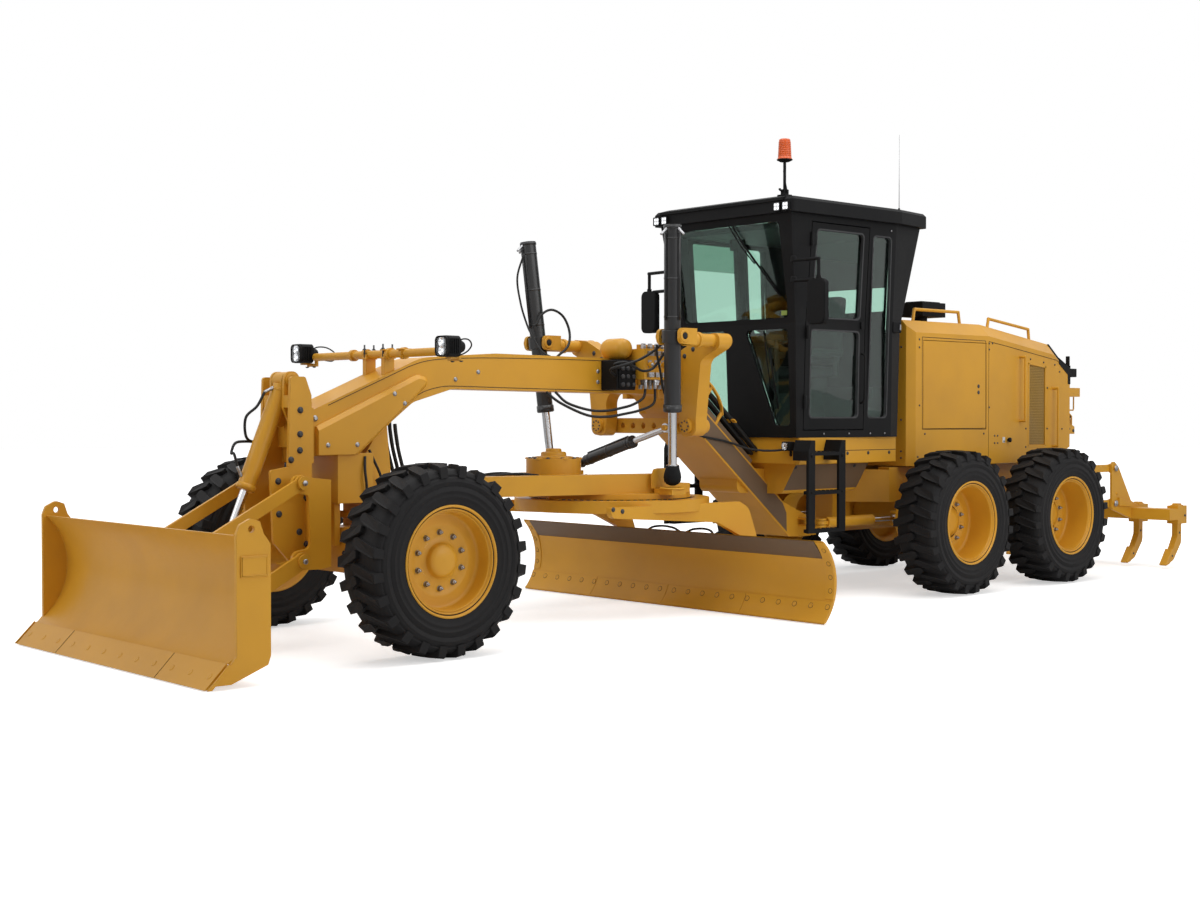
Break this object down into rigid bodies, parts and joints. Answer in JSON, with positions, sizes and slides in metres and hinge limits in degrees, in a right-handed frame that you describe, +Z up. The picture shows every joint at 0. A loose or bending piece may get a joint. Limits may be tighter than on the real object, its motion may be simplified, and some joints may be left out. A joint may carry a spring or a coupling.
{
  "type": "motor grader",
  "caption": "Articulated six-wheel motor grader with side-shifting moldboard on a turning circle, front dozer blade, rear ripper, cab with opening doors and engine hood.",
  "frame": {"origin": "middle of the bounding box, on the ground under the tyres", "axes": "+X forward along the machine, +Y to its left, +Z up"},
  "size_m": [10.861, 3.36, 3.905],
  "materials": {
    "machine_yellow": "satin",
    "black_paint": "satin",
    "tyre_rubber": "matte",
    "chrome_rod": "polished",
    "cast_metal": "satin",
    "cab_glazing": "clear",
    "seat_cloth": "matte",
    "cab_plastic": "matte",
    "amber_plastic": "gloss"
  },
  "bodies": {
    "front_frame": {"main_frame": "machine_yellow", "lift_saddle": "machine_yellow", "valve_block": "cast_metal", "lamp_bar": "machine_yellow", "front_lamps": "black_paint", "dozer_mount": "machine_yellow", "front_axle": "machine_yellow", "cab_frame": "black_paint", "cab_glass": "cab_glazing", "cab_roof": "black_paint", "seat": "seat_cloth", "steering_console": "cab_plastic", "mirrors": "black_paint", "beacon": "amber_plastic", "ladders": "black_paint"},
    "rear_module": {"rear_frame": "machine_yellow", "tandem_housings": "machine_yellow", "engine_enclosure": "machine_yellow", "engine_block": "cast_metal"},
    "articulation_barrel_left": {"articulation_barrel_left": "machine_yellow"},
    "articulation_barrel_right": {"articulation_barrel_right": "machine_yellow"},
    "articulation_rod_left": {"articulation_rod_left": "chrome_rod"},
    "articulation_rod_right": {"articulation_rod_right": "chrome_rod"},
    "cab_door_left": {"cab_door_left": "black_paint", "cab_door_glass_left": "cab_glazing"},
    "cab_door_right": {"cab_door_right": "black_paint", "cab_door_glass_right": "cab_glazing"},
    "centershift_barrel": {"centershift_barrel": "machine_yellow"},
    "centershift_rod": {"centershift_rod": "chrome_rod"},
    "circle": {"circle": "machine_yellow"},
    "dozer_barrel": {"dozer_barrel": "machine_yellow"},
    "dozer_blade": {"dozer_blade": "machine_yellow"},
    "dozer_lower_arms": {"dozer_lower_arms": "machine_yellow"},
    "dozer_rod": {"dozer_rod": "chrome_rod"},
    "dozer_upper_arms": {"dozer_upper_arms": "machine_yellow"},
    "drawbar": {"drawbar": "machine_yellow"},
    "engine_door_left": {"engine_door_left": "machine_yellow"},
    "engine_door_right": {"engine_door_right": "machine_yellow"},
    "knuckle_left": {"knuckle_left": "machine_yellow"},
    "knuckle_right": {"knuckle_right": "machine_yellow"},
    "lean_bar": {"lean_bar": "machine_yellow"},
    "lean_left": {"lean_left": "machine_yellow"},
    "lean_right": {"lean_right": "machine_yellow"},
    "lift_barrels": {"lift_barrels": "machine_yellow"},
    "lift_rod_left": {"lift_rod_left": "chrome_rod"},
    "lift_rod_right": {"lift_rod_right": "chrome_rod"},
    "moldboard": {"moldboard": "machine_yellow"},
    "ripper": {"ripper": "machine_yellow"},
    "ripper_barrel": {"ripper_barrel": "machine_yellow"},
    "ripper_lower_links": {"ripper_lower_links": "machine_yellow"},
    "ripper_rod": {"ripper_rod": "chrome_rod"},
    "ripper_upper_links": {"ripper_upper_links": "machine_yellow"},
    "tie_rod": {"tie_rod": "chrome_rod"},
    "tip_bracket": {"tip_bracket": "machine_yellow"},
    "wheel_front_left": {"wheel_front_left": "tyre_rubber"},
    "wheel_front_right": {"wheel_front_right": "tyre_rubber"},
    "wheel_middle_left": {"wheel_middle_left": "tyre_rubber"},
    "wheel_middle_right": {"wheel_middle_right": "tyre_rubber"},
    "wheel_rear_left": {"wheel_rear_left": "tyre_rubber"},
    "wheel_rear_right": {"wheel_rear_right": "tyre_rubber"}
  },
  "joints": [
    {"name": "articulation", "type": "hinge", "parent": "front_frame", "child": "rear_module", "pos_m": [-0.9285, 0, 0.7], "axis": [0, 0, 1], "range_deg": [-20, 20]},
    {"name": "articulation_barrel_left_turn", "type": "hinge", "parent": "front_frame", "child": "articulation_barrel_left", "pos_m": [-0.6785, 0.45, 0.62], "axis": [0, 0, 1], "range_deg": [-15.16, 15.16]},
    {"name": "articulation_rod_left_slide", "type": "slide", "parent": "articulation_barrel_left", "child": "articulation_rod_left", "axis": [-0.9998, 0.0206, 0], "range_m": [-0.1654, 0.1654]},
    {"name": "articulation_barrel_right_turn", "type": "hinge", "parent": "front_frame", "child": "articulation_barrel_right", "pos_m": [-0.6785, -0.45, 0.62], "axis": [0, 0, 1], "range_deg": [-15.16, 15.16]},
    {"name": "articulation_rod_right_slide", "type": "slide", "parent": "articulation_barrel_right", "child": "articulation_rod_right", "axis": [-0.9998, -0.0206, 0], "range_m": [-0.1654, 0.1654]},
    {"name": "wheel_lean", "type": "hinge", "parent": "front_frame", "child": "lean_left", "pos_m": [3.7215, 0.64, 0.52], "axis": [-1, 0, 0], "range_deg": [-18, 18]},
    {"name": "wheel_lean_right", "type": "hinge", "parent": "front_frame", "child": "lean_right", "pos_m": [3.7215, -0.64, 0.52], "axis": [-1, 0, 0], "range_deg": [-18.36, 18.36]},
    {"name": "lean_bar_turn", "type": "hinge", "parent": "lean_left", "child": "lean_bar", "pos_m": [3.7215, 0.64, 0.85], "axis": [-1, 0, 0], "range_deg": [-18.36, 18.36]},
    {"name": "steering", "type": "hinge", "parent": "lean_left", "child": "knuckle_left", "pos_m": [3.7215, 0.79, 0.6], "axis": [0, 0, -1], "range_deg": [-47.5, 47.5]},
    {"name": "steering_right", "type": "hinge", "parent": "lean_right", "child": "knuckle_right", "pos_m": [3.7215, -0.79, 0.6], "axis": [0, 0, -1], "range_deg": [-48.45, 48.45]},
    {"name": "tie_rod_slide", "type": "slide", "parent": "front_frame", "child": "tie_rod", "axis": [0, -1, 0], "range_m": [-0.1429, 0.1429]},
    {"name": "wheel_front_left_spin", "type": "hinge", "parent": "knuckle_left", "child": "wheel_front_left", "pos_m": [3.7215, 1.04, 0.61], "axis": [0, 1, 0], "continuous": true},
    {"name": "wheel_middle_left_spin", "type": "hinge", "parent": "rear_module", "child": "wheel_middle_left", "pos_m": [-1.717, 1.04, 0.61], "axis": [0, 1, 0], "continuous": true},
    {"name": "wheel_rear_left_spin", "type": "hinge", "parent": "rear_module", "child": "wheel_rear_left", "pos_m": [-3.24, 1.04, 0.61], "axis": [0, 1, 0], "continuous": true},
    {"name": "wheel_front_right_spin", "type": "hinge", "parent": "knuckle_right", "child": "wheel_front_right", "pos_m": [3.7215, -1.04, 0.61], "axis": [0, 1, 0], "continuous": true},
    {"name": "wheel_middle_right_spin", "type": "hinge", "parent": "rear_module", "child": "wheel_middle_right", "pos_m": [-1.717, -1.04, 0.61], "axis": [0, 1, 0], "continuous": true},
    {"name": "wheel_rear_right_spin", "type": "hinge", "parent": "rear_module", "child": "wheel_rear_right", "pos_m": [-3.24, -1.04, 0.61], "axis": [0, 1, 0], "continuous": true},
    {"name": "dozer_lift", "type": "hinge", "parent": "front_frame", "child": "dozer_upper_arms", "pos_m": [4.2215, 0, 1.08], "axis": [0, -1, 0], "range_deg": [-13.8, 45]},
    {"name": "dozer_lower_turn", "type": "hinge", "parent": "front_frame", "child": "dozer_lower_arms", "pos_m": [4.2215, 0, 0.582], "axis": [0, -1, 0], "range_deg": [-14.08, 45.9]},
    {"name": "dozer_blade_level", "type": "hinge", "parent": "dozer_upper_arms", "child": "dozer_blade", "pos_m": [4.9615, 0, 0.69], "axis": [0, -1, 0], "range_deg": [-45.9, 14.08]},
    {"name": "dozer_barrel_turn", "type": "hinge", "parent": "front_frame", "child": "dozer_barrel", "pos_m": [4.1615, 0, 1.737], "axis": [0, -1, 0], "range_deg": [-2.46, 8.03]},
    {"name": "dozer_rod_slide", "type": "slide", "parent": "dozer_barrel", "child": "dozer_rod", "axis": [0.3819, 0, -0.9242], "range_m": [-0.3525, 0.1081]},
    {"name": "drawbar_lift", "type": "hinge", "parent": "front_frame", "child": "drawbar", "pos_m": [3.1715, 0, 0.96], "axis": [0, 1, 0], "range_deg": [-17.1, 9.9]},
    {"name": "lift_barrels_turn", "type": "hinge", "parent": "front_frame", "child": "lift_barrels", "pos_m": [1.3585, 0, 2.087], "axis": [0, 1, 0], "range_deg": [-2.13, 1.23]},
    {"name": "lift_rod_left_slide", "type": "slide", "parent": "lift_barrels", "child": "lift_rod_left", "axis": [-0.0738, -0.0738, -0.9945], "range_m": [-0.331, 0.5717]},
    {"name": "lift_rod_right_slide", "type": "slide", "parent": "lift_barrels", "child": "lift_rod_right", "axis": [-0.0738, 0.0738, -0.9945], "range_m": [-0.331, 0.5717]},
    {"name": "centershift_rod_turn", "type": "hinge", "parent": "front_frame", "child": "centershift_rod", "pos_m": [1.0215, 0.365, 1.415], "axis": [1, 0, 0], "range_deg": [-17.67, 30.52]},
    {"name": "centershift_barrel_slide", "type": "slide", "parent": "centershift_rod", "child": "centershift_barrel", "axis": [0, -0.9612, -0.2759], "range_m": [-0.1269, 0.2192]},
    {"name": "circle_turn", "type": "hinge", "parent": "drawbar", "child": "circle", "pos_m": [1.2615, 0, 0.84], "axis": [0, 0, 1], "continuous": true},
    {"name": "moldboard_tip", "type": "hinge", "parent": "circle", "child": "tip_bracket", "pos_m": [0.5065, 0, 0.3], "axis": [0, 1, 0], "range_deg": [-5, 40]},
    {"name": "moldboard_sideshift", "type": "slide", "parent": "tip_bracket", "child": "moldboard", "axis": [0, 1, 0], "range_m": [-0.4, 0.6]},
    {"name": "ripper_lift", "type": "hinge", "parent": "rear_module", "child": "ripper_lower_links", "pos_m": [-4.1855, 0, 0.643], "axis": [0, 1, 0], "range_deg": [-50, 35]},
    {"name": "ripper_upper_turn", "type": "hinge", "parent": "rear_module", "child": "ripper_upper_links", "pos_m": [-4.1855, 0, 0.99], "axis": [0, 1, 0], "range_deg": [-51, 35.7]},
    {"name": "ripper_level", "type": "hinge", "parent": "ripper_lower_links", "child": "ripper", "pos_m": [-4.7855, 0, 0.643], "axis": [0, 1, 0], "range_deg": [-35.7, 51]},
    {"name": "ripper_barrel_turn", "type": "hinge", "parent": "rear_module", "child": "ripper_barrel", "pos_m": [-4.1855, 0, 1.1], "axis": [0, 1, 0], "range_deg": [-29.07, 20.35]},
    {"name": "ripper_rod_slide", "type": "slide", "parent": "ripper_barrel", "child": "ripper_rod", "axis": [-0.8971, 0, -0.4417], "range_m": [-0.1246, 0.178]},
    {"name": "cab_door_left_swing", "type": "hinge", "parent": "front_frame", "child": "cab_door_left", "pos_m": [-0.2385, 0.6865, 2.22], "axis": [0, -0.0555, -0.9985], "range_deg": [0, 85]},
    {"name": "cab_door_right_swing", "type": "hinge", "parent": "front_frame", "child": "cab_door_right", "pos_m": [-0.2385, -0.6865, 2.22], "axis": [0, -0.0555, 0.9985], "range_deg": [0, 85]},
    {"name": "engine_door_left_swing", "type": "hinge", "parent": "rear_module", "child": "engine_door_left", "pos_m": [-1.8585, 0.61, 1.78], "axis": [0, 0, -1], "range_deg": [0, 110]},
    {"name": "engine_door_right_swing", "type": "hinge", "parent": "rear_module", "child": "engine_door_right", "pos_m": [-1.8585, -0.61, 1.78], "axis": [0, 0, 1], "range_deg": [0, 110]}
  ],
  "couplings": [
    {"joint": "articulation_barrel_left_turn", "follows": "articulation", "ratio": 0.743},
    {"joint": "articulation_rod_left_slide", "follows": "articulation", "m_per_rad": 0.4645},
    {"joint": "articulation_barrel_right_turn", "follows": "articulation", "ratio": 0.743},
    {"joint": "articulation_rod_right_slide", "follows": "articulation", "m_per_rad": -0.4645},
    {"joint": "wheel_lean_right", "follows": "wheel_lean", "ratio": 1},
    {"joint": "lean_bar_turn", "follows": "wheel_lean", "ratio": -1},
    {"joint": "steering_right", "follows": "steering", "ratio": 1},
    {"joint": "tie_rod_slide", "follows": "steering", "m_per_rad": -0.169},
    {"joint": "dozer_lower_turn", "follows": "dozer_lift", "ratio": 1},
    {"joint": "dozer_blade_level", "follows": "dozer_lift", "ratio": -1},
    {"joint": "dozer_barrel_turn", "follows": "dozer_lift", "ratio": 0.175},
    {"joint": "dozer_rod_slide", "follows": "dozer_lift", "m_per_rad": -0.44},
    {"joint": "lift_barrels_turn", "follows": "drawbar_lift", "ratio": 0.122},
    {"joint": "lift_rod_left_slide", "follows": "drawbar_lift", "m_per_rad": -1.878},
    {"joint": "lift_rod_right_slide", "follows": "drawbar_lift", "m_per_rad": -1.878},
    {"joint": "centershift_rod_turn", "follows": "drawbar_lift", "ratio": -1.75},
    {"joint": "centershift_barrel_slide", "follows": "drawbar_lift", "m_per_rad": -0.72},
    {"joint": "ripper_upper_turn", "follows": "ripper_lift", "ratio": 1},
    {"joint": "ripper_level", "follows": "ripper_lift", "ratio": -1},
    {"joint": "ripper_barrel_turn", "follows": "ripper_lift", "ratio": 0.57},
    {"joint": "ripper_rod_slide", "follows": "ripper_lift", "m_per_rad": -0.2}
  ]
}
